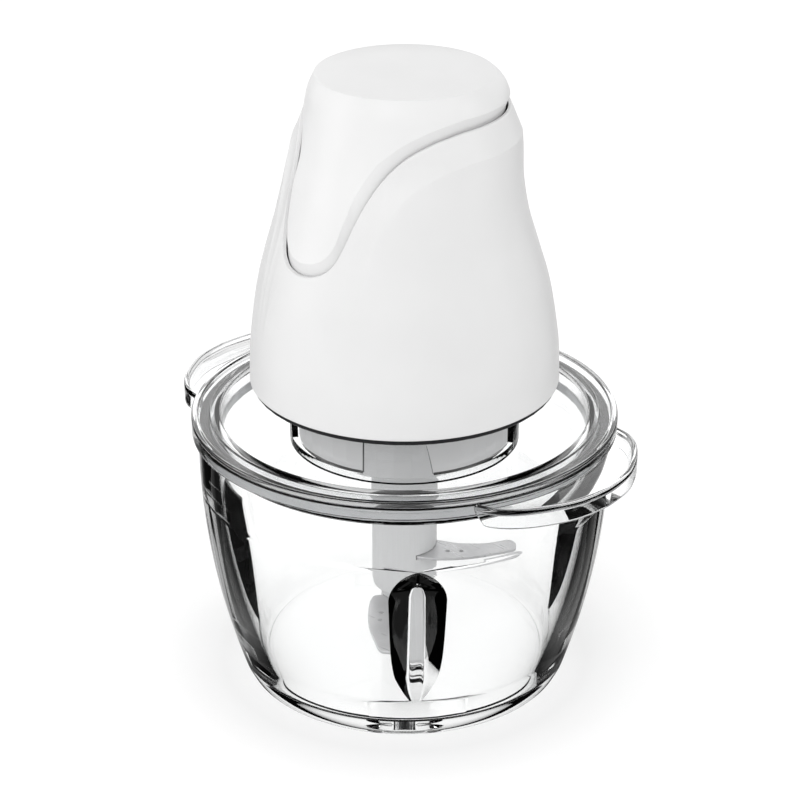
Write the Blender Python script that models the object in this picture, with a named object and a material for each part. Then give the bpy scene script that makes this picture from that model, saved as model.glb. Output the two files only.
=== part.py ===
"""Glass-bowl food processor, press-to-run, as an assembly of separate named pieces.

Blender 4.5, metres, +Z up. The origin is the centre of the bowl's base, the front is -Y,
and the two grip wings of the lid point along +X and -X. Sizes below are in millimetres.
"""
import bisect
import math

import bmesh
import bpy
from mathutils import Matrix, Vector

MM = 0.001
GAP = 0.3                  # space kept between pieces that touch

# Bowl
BOWL_OUTSIDE = [(64.8, 0), (67.4, 0.9), (69.2, 5.0), (71.8, 14), (74.7, 24), (77.8, 36), (80.8, 50),
                (83.1, 65), (84.5, 80), (85.0, 98), (85.2, 112.4), (84.4, 113.6)]
BOWL_WALL = [(60.4, 6.9), (62.4, 7.9), (65.0, 17), (68.6, 29), (72.6, 45), (75.1, 57), (77.0, 69),
             (78.5, 84), (79.6, 97), (80.0, 112.6), (80.8, 113.6)]
FLOOR_Z = 6.9
BOSS_R = 9.6
BOSS_TOP = 9.9
PIN_R = 3.0
PIN_HOLE_R = 3.3
PIN_HOLE_Z = 6.0
PIN_TOP = 62.0
RIB_COUNT = 4
RIB_CREST_R = 64.8
RIB_FOOT_Z = 17.5
RIB_SHOULDER_Z = 70.0      # the sides close in above this height
RIB_TOP_Z = 84.0
RIB_ARCH = 0.55            # 0.5 is a round arch, more is more pointed
RIB_HOOD = 0.65            # share of the arch over which the crest runs back to the wall
RIB_HALF_WIDTHS = [(17.5, 1.5), (19.6, 2.9), (25, 5.9), (33, 9.3), (45, 10.8), (70, 12.0)]
RIB_CREST_HALVES = [(17.5, 0.8), (21, 2.2), (26, 3.2), (33, 3.5), (70, 3.5), (74, 2.6), (76, 1.2), (84, 0.1)]
RECESS_R = 9.3             # hollow under the pin's boss
RECESS_TOP = 4.6

# Lid
LID_SECTION = [(86.2, 110.5), (88.0, 110.5), (88.0, 116.3), (87.3, 117.5), (86.3, 117.9), (85.3, 117.4),
               (80.6, 117.4), (80.0, 117.9), (76.7, 117.9), (76.0, 117.3), (75.2, 107.4), (73.4, 105.4),
               (12.0, 105.4), (12.0, 103.2), (74.6, 103.2), (77.6, 104.4), (78.4, 106.2), (78.4, 115.4),
               (86.2, 115.4)]
WING_EDGE = [(0, 106.2), (8, 105.4), (14, 103.2), (20, 100.4), (24, 97.8), (27.5, 94.4), (29.7, 90.8),
             (31, 88.3)]
WING_ROOT_R = 87.1
WING_PLATE_Z = (112.8, 114.2)
WING_BEAD_Z = 115.6
WING_SKIRT = 1.9
WING_SKIRT_Z = 107.2
COLLAR_R = (45.0, 47.5)
COLLAR_FOOT_Z = 104.4
COLLAR_LOW_Z = 109.0
COLLAR_TOP_Z = 129.6
TAB_AZIMUTH = 34.5         # degrees
TAB_HALF = 13.5            # degrees
TAB_RAMP = 7.5             # degrees
SEAL_R = (78.7, 79.7)
SEAL_Z = (106.4, 110.2)

# Motor housing and press cap: (height, radius) of the flank and of the cap
HOUSING_Z = 132.2
FLANK = [(132.2, 63.5), (145, 63.2), (160, 61.6), (175, 59.1), (190, 55.1), (205, 50.8), (220, 47.8),
         (238, 45.6)]
CAP_FLANK = [(190, 55.1), (205, 50.9), (220, 48.0), (235, 44.4), (249, 40.9), (254, 40.0), (257.5, 38.7),
             (260, 37.2), (261.6, 36.0)]
CAP_TOP = [(35.3, 262.1), (18.0, 262.3)]
LEAN = [(150, 0), (175, -0.5), (190, -1.1), (205, -1.3), (220, -0.5), (235, 1.5), (249, 1.9), (254, 2.1),
        (257.5, 1.9), (260, 1.3), (261.6, 0.6), (262.3, 0.3)]
SEAM = [(-180, 249), (-75, 248.4), (-50, 244.5), (-40, 238.5), (-30.5, 221), (-26, 203.5), (-20, 195),
        (-8, 191.3), (3, 193.5), (10.5, 198.5), (19.8, 218.7), (32.4, 234.9), (48, 243.2), (76, 248.6),
        (180, 249)]          # (degrees from the front, height)
SHOULDER = 11.0            # width of the shoulder band below the seam
SHOULDER_SPREAD = 2.4
SHOULDER_EASE = 1.2
CAP_CHAMFER = 4.2
CAP_INSET = 1.8
SEAM_GAP = 0.4
HOUSING_WALL = 2.4
HOUSING_LIP = 1.0
CAP_WALL = 2.2
CAP_ROUND_Z = 255.0         # above this the cap rounds over to its top
SEAM_COLUMNS = 56
POST_AZIMUTHS = (0, 120, 240)
POST_RADIUS = 54.5
POST_Z = (134.7, 150)
GLAND_Z = 147.0

# Base cover, trim and gearbox
COVER_SECTION = [(9.5, 106.0), (43.2, 106.0), (43.7, 106.6), (43.7, 132.2), (60.6, 132.2), (60.6, 134.3),
                 (41.5, 134.3), (41.5, 108.2), (12.0, 108.2), (12.0, 109.9), (9.5, 109.9)]
TRIM_SECTION = [(59.2, 130.1), (62.0, 130.1), (62.3, 130.5), (62.3, 131.9), (59.2, 131.9)]
MODULE = 1.0
SUN_TEETH = 12
PLANET_TEETH = 15
PLANETS = 3
PRESSURE_ANGLE = math.radians(25)
ADDENDUM = 0.8
DEDENDUM = 1.05
BACKLASH = 0.16
GEAR_Z = (116.0, 124.6)

# Motor
SHAFT_R = 4.0
STACK_Z = (158.0, 184.0)
ROTOR_R = 15.2
BORE_R = 15.9
YOKE_HALF = (29.0, 25.6)
YOKE = 5.0
POLE_HALF = 8.0
CAGE_Y = (26.0, 28.2)

# Press button inside
GUIDE_Z = 214.5
SPRING_R = 8.6
SPRING_WIRE = 0.65
SPRING_Z = (217.5, 256.2)
SPRING_TURNS = 6

# Blades: plan outline at the height of the plate, tip towards +X
BLADE_PLAN = [(4.4, 1.2), (4.4, -11.2), (7.7, -13.8), (14.3, -14.3), (23.2, -13.8), (31.0, -12.3),
              (38.8, -9.8), (44.5, -7.9), (47.2, -6.4), (47.9, -4.4), (47.9, -1.8), (46.7, 0.3), (44.4, 0.8),
              (40.8, -0.3), (36.0, -1.8), (30.0, -2.4), (22.0, -1.9), (16.0, -0.2)]
BLADE_HOLES = [(18.4, -8.6), (24.2, -8.6)]
BLADE_HOLE_R = 1.0
BLADE_THICK = 1.3
SLOT_REACH = 17.0
UPPER_BLADE = (51.8, 41.2)         # (height of the underside, turn in degrees)
LOWER_BLADE = (28.6, -52.8)
HUB_R = 13.9
HUB_FOOT_R = 10.0
HUB_SPLIT_Z = 37.3
HUB_TOP = 101.4
SOCKET_Z = 84.0


def smooth_curve(points):
    """Return a function that runs smoothly through (x, y) points without overshoot."""
    xs = [p[0] for p in points]
    ys = [p[1] for p in points]
    rises = [(ys[i + 1] - ys[i]) / (xs[i + 1] - xs[i]) for i in range(len(xs) - 1)]
    slopes = [rises[0]]
    for a, b in zip(rises, rises[1:]):
        slopes.append(0.0 if a * b <= 0 else 2 * a * b / (a + b))
    slopes.append(rises[-1])

    def value(x):
        x = min(max(x, xs[0]), xs[-1])
        i = min(bisect.bisect_right(xs, x), len(xs) - 1) - 1
        width = xs[i + 1] - xs[i]
        t = (x - xs[i]) / width
        start = (1 + 2 * t) * (1 - t) ** 2 * ys[i] + t * (1 - t) ** 2 * width * slopes[i]
        end = t * t * (3 - 2 * t) * ys[i + 1] - t * t * (1 - t) * width * slopes[i + 1]
        return start + end
    return value


def circle(radius, steps, centre=(0, 0)):
    points = []
    for i in range(steps):
        angle = 2 * math.pi * i / steps
        points.append((centre[0] + radius * math.cos(angle), centre[1] + radius * math.sin(angle)))
    return points


def turned_about(points, degrees):
    turn = Matrix.Rotation(math.radians(degrees), 2)
    return [tuple(turn @ Vector(p)) for p in points]


def material(name, colour, roughness, metallic=0.0, transmission=0.0):
    found = bpy.data.materials.get(name)
    if found:
        return found
    made = bpy.data.materials.new(name)
    made.use_nodes = True
    made.diffuse_color = (*colour, 0.35 if transmission else 1.0)
    shader = made.node_tree.nodes["Principled BSDF"]
    shader.inputs["Base Color"].default_value = (*colour, 1)
    shader.inputs["Roughness"].default_value = roughness
    shader.inputs["Metallic"].default_value = metallic
    shader.inputs["Transmission Weight"].default_value = transmission
    return made


def glass():
    return material("clear_glass", (0.93, 0.95, 0.95), 0.03, transmission=1.0)


def clear_plastic():
    return material("clear_plastic", (0.9, 0.91, 0.92), 0.06, transmission=1.0)


def white_plastic():
    return material("white_plastic", (0.86, 0.86, 0.86), 0.42)


def grey_plastic():
    return material("grey_plastic", (0.42, 0.43, 0.44), 0.5)


def dark_plastic():
    return material("dark_plastic", (0.03, 0.03, 0.035), 0.45)


def nylon():
    return material("nylon", (0.72, 0.70, 0.64), 0.5)


def silicone():
    return material("silicone", (0.66, 0.67, 0.68), 0.6)


def steel():
    return material("steel", (0.62, 0.62, 0.63), 0.28, metallic=1.0)


def laminated_steel():
    return material("laminated_steel", (0.3, 0.3, 0.31), 0.5, metallic=0.9)


def copper():
    return material("copper", (0.72, 0.35, 0.17), 0.35, metallic=1.0)


def carbon():
    return material("carbon", (0.05, 0.05, 0.05), 0.7)


def board_green():
    return material("board_green", (0.04, 0.2, 0.09), 0.45)


def finished(name, bm, look, smooth=35):
    """Turn a bmesh in millimetres into an object in metres."""
    bmesh.ops.recalc_face_normals(bm, faces=bm.faces)
    bmesh.ops.scale(bm, vec=(MM, MM, MM), verts=bm.verts)
    mesh = bpy.data.meshes.new(name)
    bm.to_mesh(mesh)
    bm.free()
    mesh.shade_smooth()
    mesh.set_sharp_from_angle(angle=math.radians(smooth))
    made = bpy.data.objects.new(name, mesh)
    bpy.context.scene.collection.objects.link(made)
    if look:
        made.data.materials.append(look)
    return made


def cutter(name, bm):
    made = finished(name, bm, None)
    made.hide_render = True
    made.display_type = "WIRE"
    return made


def combine(target, tool, operation):
    change = target.modifiers.new(tool.name, "BOOLEAN")
    change.operation = operation
    change.object = tool
    change.solver = "EXACT"


def add_turned(bm, section, steps, closed, matrix=None):
    """Spin a section of (radius, height) points about Z."""
    verts = [bm.verts.new((r, 0, z)) for r, z in section]
    edges = [bm.edges.new(pair) for pair in zip(verts, verts[1:])]
    if closed:
        edges.append(bm.edges.new((verts[-1], verts[0])))
    before = set(bm.verts) - set(verts)
    bmesh.ops.spin(bm, geom=verts + edges, cent=(0, 0, 0), axis=(0, 0, 1), angle=2 * math.pi,
                   steps=steps, use_merge=True)
    made = [v for v in bm.verts if v not in before]
    bmesh.ops.remove_doubles(bm, verts=made, dist=1e-4)
    if matrix:
        made = [v for v in bm.verts if v not in before]
        bmesh.ops.transform(bm, matrix=matrix, verts=made)


def turned(name, section, look, steps=32, closed=True):
    bm = bmesh.new()
    add_turned(bm, section, steps, closed)
    return finished(name, bm, look)


def rod_section(radius, low, high):
    return [(0, low), (radius, low), (radius, high), (0, high)]


def tube_section(inner, outer, low, high):
    return [(inner, low), (outer, low), (outer, high), (inner, high)]


def add_prism(bm, loops, low, high):
    """Extrude flat outlines; the loops after the first are holes in it."""
    edges = []
    for loop in loops:
        verts = [bm.verts.new((x, y, low)) for x, y in loop]
        edges += [bm.edges.new((verts[i - 1], verts[i])) for i in range(len(verts))]
    filled = bmesh.ops.triangle_fill(bm, edges=edges, use_beauty=True, use_dissolve=False)
    faces = [f for f in filled["geom"] if isinstance(f, bmesh.types.BMFace)]
    raised = bmesh.ops.extrude_face_region(bm, geom=faces, use_keep_orig=True)
    top = [v for v in raised["geom"] if isinstance(v, bmesh.types.BMVert)]
    bmesh.ops.translate(bm, vec=(0, 0, high - low), verts=top)


def prism(name, loops, low, high, look):
    bm = bmesh.new()
    add_prism(bm, loops, low, high)
    return finished(name, bm, look)


def add_box(bm, low, high):
    size = [b - a for a, b in zip(low, high)]
    middle = [(a + b) / 2 for a, b in zip(low, high)]
    place = Matrix.Translation(middle) @ Matrix.Diagonal((*size, 1))
    bmesh.ops.create_cube(bm, size=1, matrix=place)


def add_skin(bm, rows, wrap_rows):
    """Join rings of equal length with quads; open ends get a cap."""
    rings = [[bm.verts.new(p) for p in row] for row in rows]
    pairs = list(zip(rings, rings[1:]))
    if wrap_rows:
        pairs.append((rings[-1], rings[0]))
    for lower, upper in pairs:
        for i in range(len(lower)):
            bm.faces.new((lower[i - 1], lower[i], upper[i], upper[i - 1]))
    if not wrap_rows:
        bm.faces.new(rings[0])
        bm.faces.new(rings[-1])


def on_azimuth(degrees, radius, height, shift=0.0):
    """A point seen from the axis, measured in degrees from the front (-Y) towards +X."""
    angle = math.radians(degrees)
    return (radius * math.sin(angle), shift - radius * math.cos(angle), height)


# --- Bowl -------------------------------------------------------------------------------------

RIB_POINTS = 7             # mesh columns across one rib
WALL_POINTS = 7            # mesh columns from one rib to the next


def rib_section(height, wall_r):
    """Half width at the wall, half width of the crest and radius of the crest of a rib."""
    crest = smooth_curve(RIB_CREST_HALVES)(height)
    if height <= RIB_SHOULDER_Z:
        return smooth_curve(RIB_HALF_WIDTHS)(height), crest, min(RIB_CREST_R, wall_r - 0.2)
    left = (RIB_TOP_Z - height) / (RIB_TOP_Z - RIB_SHOULDER_Z)
    depth = (wall_r - RIB_CREST_R) * min(left / RIB_HOOD, 1.0)
    return RIB_HALF_WIDTHS[-1][1] * (1 - (1 - left) ** 2) ** RIB_ARCH, crest, wall_r - depth


def plain_ring(radius, height):
    count = RIB_COUNT * (RIB_POINTS + WALL_POINTS)
    first = 45 - 360 * (RIB_POINTS - 1) / 2 / count
    return [on_azimuth(first + 360 * i / count, radius, height) for i in range(count)]


def ribbed_ring(wall_r, height):
    half, crest, crest_r = rib_section(height, wall_r)
    edge = math.degrees(math.asin(half / wall_r))
    foot = math.sqrt(wall_r ** 2 - half ** 2)
    side = ((half + crest) / 2, (foot + crest_r) / 2)
    across = [(-half, foot), (-side[0], side[1]), (-crest, crest_r), (0, crest_r),
              (crest, crest_r), side, (half, foot)]
    ring = []
    for k in range(RIB_COUNT):
        middle = 45 + 360 / RIB_COUNT * k
        for sideways, outward in across:
            turn = math.degrees(math.atan2(sideways, outward))
            ring.append(on_azimuth(middle + turn, math.hypot(sideways, outward), height))
        span = 360 / RIB_COUNT - 2 * edge
        for i in range(WALL_POINTS):
            ring.append(on_azimuth(middle + edge + span * (i + 1) / (WALL_POINTS + 1), wall_r, height))
    return ring


def make_bowl():
    wall = smooth_curve([(z, r) for r, z in BOWL_WALL[:-1]])
    recess = [(RECESS_R - 0.5, RECESS_TOP), (RECESS_R, RECESS_TOP - 0.5), (RECESS_R, 0.4), (RECESS_R + 0.4, 0)]
    rows = [plain_ring(r, z) for r, z in recess + BOWL_OUTSIDE]
    rows += [plain_ring(r, z) for r, z in reversed(BOWL_WALL) if z > RIB_TOP_Z]
    for height in (83.4, 81, 77, 74, 70, 53, 35, 25, 18.5):
        rows.append(ribbed_ring(wall(height), height))
    rows += [plain_ring(r, z) for r, z in reversed(BOWL_WALL) if z < RIB_FOOT_Z]
    rows += [plain_ring(r, z) for r, z in ((BOSS_R + 0.6, FLOOR_Z), (BOSS_R, FLOOR_Z + 0.4),
                                           (BOSS_R - 0.3, BOSS_TOP), (PIN_HOLE_R, BOSS_TOP),
                                           (PIN_HOLE_R, PIN_HOLE_Z))]
    bm = bmesh.new()
    add_skin(bm, rows, wrap_rows=False)
    return finished("bowl", bm, glass(), smooth=24)


def make_pivot_pin():
    section = [(0, PIN_HOLE_Z + GAP), (PIN_R, PIN_HOLE_Z + GAP), (PIN_R, PIN_TOP - 1.5),
               (PIN_R - 1, PIN_TOP - 0.4), (0, PIN_TOP)]
    return turned("pivot_pin", section, steel(), closed=False)


# --- Lid --------------------------------------------------------------------------------------

def wing_solid(side):
    """One grip wing: a plate with a raised edge and a skirt, swept round the rim."""
    edge = smooth_curve(WING_EDGE)
    plate_low, plate_high = WING_PLATE_Z
    reach = WING_EDGE[-1][0]
    bm = bmesh.new()
    sections = []
    steps = 20
    for i in range(steps + 1):
        along = -math.cos(math.pi * i / steps)
        angle = reach * along
        outer = edge(abs(angle))
        inner = max(outer - WING_SKIRT, WING_ROOT_R + 0.3)
        low = WING_SKIRT_Z + 5.4 * max(abs(along) - 0.86, 0) / 0.14
        points = [(WING_ROOT_R, plate_low), (inner, plate_low), (inner, low), (outer - 0.3, low),
                  (outer, low + 0.8), (outer, WING_BEAD_Z - 1.0), (outer - 0.5, WING_BEAD_Z),
                  (max(outer - 1.5, WING_ROOT_R + 0.2), WING_BEAD_Z),
                  (max(outer - 2.2, WING_ROOT_R + 0.1), plate_high), (WING_ROOT_R, plate_high)]
        sections.append([on_azimuth(90 * side + angle, r, z) for r, z in points])
    add_skin(bm, sections, wrap_rows=False)
    return bm


def collar_solid():
    """The locating collar: a low ring with four tall tabs, each with a ramp on one side."""
    inner, outer = COLLAR_R
    angles = []
    for k in range(4):
        middle = TAB_AZIMUTH + 90 * k
        steps = [-TAB_HALF - 0.5, -TAB_HALF, -TAB_HALF / 3, TAB_HALF / 3, TAB_HALF]
        steps += [TAB_HALF + TAB_RAMP * t for t in (0.2, 0.55, 1.0)]
        steps += [TAB_HALF + TAB_RAMP + w for w in (12, 24, 36)]
        angles += [(middle + s, s) for s in steps]
    bm = bmesh.new()
    rows = []
    for angle, offset in angles:
        beyond = (offset - TAB_HALF) / TAB_RAMP
        if offset < -TAB_HALF or beyond >= 1:
            top = COLLAR_LOW_Z
        elif beyond <= 0:
            top = COLLAR_TOP_Z
        else:
            top = COLLAR_LOW_Z + (COLLAR_TOP_Z - COLLAR_LOW_Z) * (1 - beyond ** 1.6)
        section = ((inner, COLLAR_FOOT_Z), (outer, COLLAR_FOOT_Z), (outer, top), (inner, top))
        rows.append([on_azimuth(angle, r, z) for r, z in section])
    add_skin(bm, rows, wrap_rows=True)
    return bm


def make_lid():
    lid = turned("lid", LID_SECTION, clear_plastic(), steps=48)
    for name, bm in (("wing_right", wing_solid(1)), ("wing_left", wing_solid(-1)),
                     ("collar", collar_solid())):
        combine(lid, cutter(name, bm), "UNION")
    return lid


def make_lid_seal():
    inner, outer = SEAL_R
    low, high = SEAL_Z
    section = [(inner, low), (outer - 0.5, low), (outer, (low + high) / 2), (outer - 0.5, high),
               (inner, high)]
    return turned("lid_seal", section, silicone(), steps=48)


# --- Motor housing and press cap --------------------------------------------------------------

flank = smooth_curve(FLANK)
cap_flank = smooth_curve(CAP_FLANK)
lean = smooth_curve(LEAN)
seam = smooth_curve(SEAM)


def seam_slope(azimuth):
    step = 0.5
    arc = math.radians(2 * step) * flank(seam(azimuth))
    return (seam(azimuth + step) - seam(azimuth - step)) / arc


def seam_azimuths(count):
    """Azimuths spaced evenly along the seam, so its steep sides get their share of columns."""
    fine = [-180 + 0.5 * i for i in range(721)]
    travelled = [0.0]
    for a, b in zip(fine, fine[1:]):
        arc = math.radians(b - a) * flank(seam(a))
        travelled.append(travelled[-1] + math.hypot(arc, seam(b) - seam(a)))
    place = smooth_curve(list(zip(travelled, fine)))
    return [place(travelled[-1] * i / count) for i in range(count)]


def housing_column(azimuth):
    """Outside and inside (height, radius) points of the housing at one azimuth, bottom first."""
    top = seam(azimuth)
    crease = top - SHOULDER * math.sqrt(1 + SHOULDER_SPREAD * seam_slope(azimuth) ** 2)
    crease = max(crease, 150.0)
    edge_r = cap_flank(top)

    def outside_r(height):
        t = max(height - crease, 0) / (top - crease)
        return flank(height) + (edge_r - flank(top)) * t ** SHOULDER_EASE

    outside = [(HOUSING_Z, flank(HOUSING_Z) - 0.9)]
    for i in range(7):
        height = HOUSING_Z + 1.0 + (crease - HOUSING_Z - 1.0) * i / 6
        outside.append((height, outside_r(height)))
    for t in (0.35, 0.68, 1.0):
        height = crease + (top - crease) * t
        outside.append((height, outside_r(height)))
    inside = [(top, edge_r - HOUSING_LIP)]
    lip_end = top - 4.0
    for i in range(6):
        height = lip_end + (HOUSING_Z - lip_end) * i / 5
        inside.append((height, outside_r(height) - HOUSING_WALL))
    return outside + inside


def cap_column(azimuth):
    """Outside and inside (height, radius) points of the press cap at one azimuth, top first."""
    stretch = math.sqrt(1 + seam_slope(azimuth) ** 2)
    edge = seam(azimuth) + SEAM_GAP * stretch
    band = edge + min(CAP_CHAMFER * stretch, (CAP_ROUND_Z - edge) * 0.75)
    outside = [(height, cap_flank(height)) for height in (261.6, 260, 257.5)]
    for i in range(4):
        height = CAP_ROUND_Z + (band - CAP_ROUND_Z) * i / 3
        outside.append((height, cap_flank(height)))
    outside.append((edge, cap_flank(edge) - CAP_INSET))
    inside = [(edge, cap_flank(edge) - CAP_INSET - CAP_WALL + 0.6)]
    for t in (0.0, 0.5, 1.0):
        height = band + (CAP_ROUND_Z - band) * t
        inside.append((height, cap_flank(height) - CAP_WALL - 0.4))
    inside.append((258.9, cap_flank(258.9) - CAP_WALL - 1.2))
    return outside + inside


def shell_rows(columns, azimuths):
    rows = []
    for k in range(len(columns[0])):
        row = []
        for azimuth, column in zip(azimuths, columns):
            height, radius = column[k]
            row.append(on_azimuth(azimuth, radius, height, lean(height)))
        rows.append(row)
    return rows


def screw_posts():
    """Three screw posts, each tied to the housing wall by a rib."""
    bm = bmesh.new()
    for azimuth in POST_AZIMUTHS:
        outline = []
        for i in range(13):
            angle = math.radians(30 + 25 * i)
            outline.append((4 * math.cos(angle), 4 * math.sin(angle)))
        outline += [(62.4 - POST_RADIUS, -2.0), (62.4 - POST_RADIUS, 2.0)]
        hole = circle(1.8, 12)
        turn = azimuth - 90
        loops = []
        for loop in (outline, hole):
            loops.append(turned_about([(x + POST_RADIUS, y) for x, y in loop], turn))
        add_prism(bm, loops, *POST_Z)
    return bm


def make_motor_housing():
    azimuths = seam_azimuths(SEAM_COLUMNS)
    bm = bmesh.new()
    add_skin(bm, shell_rows([housing_column(a) for a in azimuths], azimuths), wrap_rows=True)
    housing = finished("motor_housing", bm, white_plastic(), smooth=28)
    combine(housing, cutter("screw_posts", screw_posts()), "UNION")
    hole = bmesh.new()
    along_y = Matrix.Translation((0, 0, GLAND_Z)) @ Matrix.Rotation(math.radians(-90), 4, "X")
    add_turned(hole, rod_section(5.8, 52, 70), 20, False, along_y)
    combine(housing, cutter("cord_hole", hole), "DIFFERENCE")
    return housing


def make_press_cap():
    azimuths = seam_azimuths(SEAM_COLUMNS)
    rows = shell_rows([cap_column(a) for a in azimuths], azimuths)
    shift = lean(CAP_TOP[0][1])
    crown = [[on_azimuth(a, r, z, shift) for a in azimuths] for r, z in reversed(CAP_TOP)]
    ceiling = [[on_azimuth(a, r, z, shift) for a in azimuths] for r, z in ((31.5, 259.8), (16, 260.0))]
    bm = bmesh.new()
    add_skin(bm, crown + rows + ceiling, wrap_rows=False)
    return finished("press_cap", bm, white_plastic(), smooth=28)


def make_cable_gland():
    section = [(3.2, 56.6), (8.0, 56.6), (8.0, 58.5), (5.4, 58.8), (5.4, 63.6), (7.2, 63.8), (7.2, 65.0),
               (6.0, 66.4), (3.2, 66.4)]
    bm = bmesh.new()
    along_y = Matrix.Translation((0, 0, GLAND_Z)) @ Matrix.Rotation(math.radians(-90), 4, "X")
    add_turned(bm, section, 20, True, along_y)
    return finished("cable_gland", bm, dark_plastic())


def make_housing_screws():
    section = [(0, 130.6), (3.0, 130.8), (3.0, 131.9), (1.5, 132.0), (1.5, 146.5), (0, 147)]
    for number, azimuth in enumerate(POST_AZIMUTHS, 1):
        bm = bmesh.new()
        place = Matrix.Translation(on_azimuth(azimuth, POST_RADIUS, 0))
        add_turned(bm, section, 12, False, place)
        finished(f"housing_screw_{number}", bm, steel())


def make_base_cover():
    cover = turned("base_cover", COVER_SECTION, grey_plastic(), steps=40)
    holes = bmesh.new()
    for azimuth in POST_AZIMUTHS:
        place = Matrix.Translation(on_azimuth(azimuth, POST_RADIUS, 0))
        add_turned(holes, rod_section(1.9, 130, 136), 12, False, place)
    combine(cover, cutter("screw_holes", holes), "DIFFERENCE")
    return cover


# --- Gearbox ----------------------------------------------------------------------------------

def gear_outline(teeth, phase, inside=False):
    """Involute outline; with inside=True it is the tooth space of a ring gear."""
    pitch_r = MODULE * teeth / 2
    base_r = pitch_r * math.cos(PRESSURE_ANGLE)
    tip_r = pitch_r + MODULE * (DEDENDUM if inside else ADDENDUM)
    root_r = pitch_r - MODULE * (ADDENDUM if inside else DEDENDUM)
    involute = math.tan(PRESSURE_ANGLE) - PRESSURE_ANGLE
    slack = BACKLASH / pitch_r / 2 * (1 if inside else -1)

    def half_angle(radius):
        roll = math.acos(min(base_r / radius, 1.0))
        return math.pi / 2 / teeth + involute - (math.tan(roll) - roll) + slack

    low = max(root_r, base_r)
    flank_radii = [low + (tip_r - low) * t for t in ((0, 1) if inside else (0, 0.5, 1))]
    points = []
    for k in range(teeth):
        middle = phase + 2 * math.pi * k / teeth
        sides = [(root_r, half_angle(low))] if root_r < low - 0.05 else []
        sides += [(r, half_angle(r)) for r in flank_radii]
        for radius, half in sides:
            points.append((radius * math.cos(middle - half), radius * math.sin(middle - half)))
        for radius, half in reversed(sides):
            points.append((radius * math.cos(middle + half), radius * math.sin(middle + half)))
    return points


def planet_centre_r():
    return MODULE * (SUN_TEETH + PLANET_TEETH) / 2


def make_gears():
    low, high = GEAR_Z
    ring_teeth = SUN_TEETH + 2 * PLANET_TEETH
    prism("sun_gear", [gear_outline(SUN_TEETH, 0), circle(3.3, 16)], low, high, steel())
    prism("ring_gear", [circle(24.8, 48), gear_outline(ring_teeth, 0, inside=True)], low, high, nylon())
    for k in range(PLANETS):
        angle = 2 * math.pi * k / PLANETS
        loops = [gear_outline(PLANET_TEETH, angle), circle(2.2, 12)]
        planet = prism(f"planet_gear_{k + 1}", loops, low, high, nylon())
        planet.location = (planet_centre_r() * math.cos(angle) * MM,
                           planet_centre_r() * math.sin(angle) * MM, 0)


def make_planet_carrier():
    carrier = prism("planet_carrier", [circle(19.5, 36), circle(5.3, 18)], 112.9, 115.5, steel())
    bm = bmesh.new()
    for x, y in circle(planet_centre_r(), PLANETS):
        add_turned(bm, rod_section(1.9, 114.0, 125.4), 12, False, Matrix.Translation((x, y, 0)))
    combine(carrier, cutter("planet_pins", bm), "UNION")
    turned("output_shaft", rod_section(5.0, 90.5, 114.7), steel(), steps=18, closed=False)


def star_outline(tip_r, waist_r, lobes=6):
    middle = (tip_r + waist_r) / 2
    swing = (tip_r - waist_r) / 2
    count = lobes * 6
    points = []
    for i in range(count):
        angle = 2 * math.pi * i / count
        radius = middle + swing * math.cos(lobes * angle)
        points.append((radius * math.cos(angle), radius * math.sin(angle)))
    return points


def make_drive_coupling():
    return prism("drive_coupling", [star_outline(8.2, 6.8), circle(5.3, 18)], 88.0, 104.8, dark_plastic())


def make_gearbox_case():
    housing = [(7.0, 110.4), (27.6, 110.4), (27.6, 128.0), (25.1, 128.0), (25.1, 112.4), (7.0, 112.4)]
    turned("gearbox_housing", housing, dark_plastic(), steps=36)
    turned("gearbox_cover", tube_section(8.3, 40.9, 128.3, 130.4), grey_plastic(), steps=36)
    turned("lower_bearing", tube_section(SHAFT_R + GAP, 8.0, 127.4, 132.0), copper(), steps=20)


# --- Motor ------------------------------------------------------------------------------------

def stator_outline():
    """Window of the stator frame: two poles reach in from the front and back sides."""
    half_x = YOKE_HALF[0] - YOKE
    half_y = YOKE_HALF[1] - YOKE
    face = math.asin(POLE_HALF / BORE_R)
    arc = []
    for i in range(7):
        angle = math.pi / 2 - face + 2 * face * i / 6
        arc.append((BORE_R * math.cos(angle), BORE_R * math.sin(angle)))
    upper = [(half_x, half_y), (POLE_HALF, half_y)] + arc + [(-POLE_HALF, half_y), (-half_x, half_y)]
    lower = [(-x, -y) for x, y in upper]
    return upper + lower


def make_stator():
    half_x, half_y = YOKE_HALF
    cut = 4.0
    outside = [(half_x, half_y - cut), (half_x - cut, half_y), (cut - half_x, half_y),
               (-half_x, half_y - cut), (-half_x, cut - half_y), (cut - half_x, -half_y),
               (half_x - cut, -half_y), (half_x, cut - half_y)]
    prism("stator_core", [outside, stator_outline()], *STACK_Z, laminated_steel())
    make_field_coils()


def make_field_coils():
    low, high = STACK_Z
    reach = 6.5
    inner = [(-POLE_HALF - 0.4, low - 0.4), (POLE_HALF + 0.4, low - 0.4), (POLE_HALF + 0.4, high + 0.4),
             (-POLE_HALF - 0.4, high + 0.4)]
    edge_x = POLE_HALF + reach
    outer = [(-edge_x, low - reach + 2), (2 - edge_x, low - reach), (edge_x - 2, low - reach),
             (edge_x, low - reach + 2), (edge_x, high + reach - 2), (edge_x - 2, high + reach),
             (2 - edge_x, high + reach), (-edge_x, high + reach - 2)]
    for name, turn in (("field_coil_front", 0), ("field_coil_back", math.pi)):
        bm = bmesh.new()
        add_prism(bm, [outer, inner], 15.6, 20.2)
        upright = Matrix.Rotation(turn, 4, "Z") @ Matrix.Rotation(math.radians(90), 4, "X")
        bmesh.ops.transform(bm, matrix=upright, verts=bm.verts)
        finished(name, bm, copper())


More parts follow.
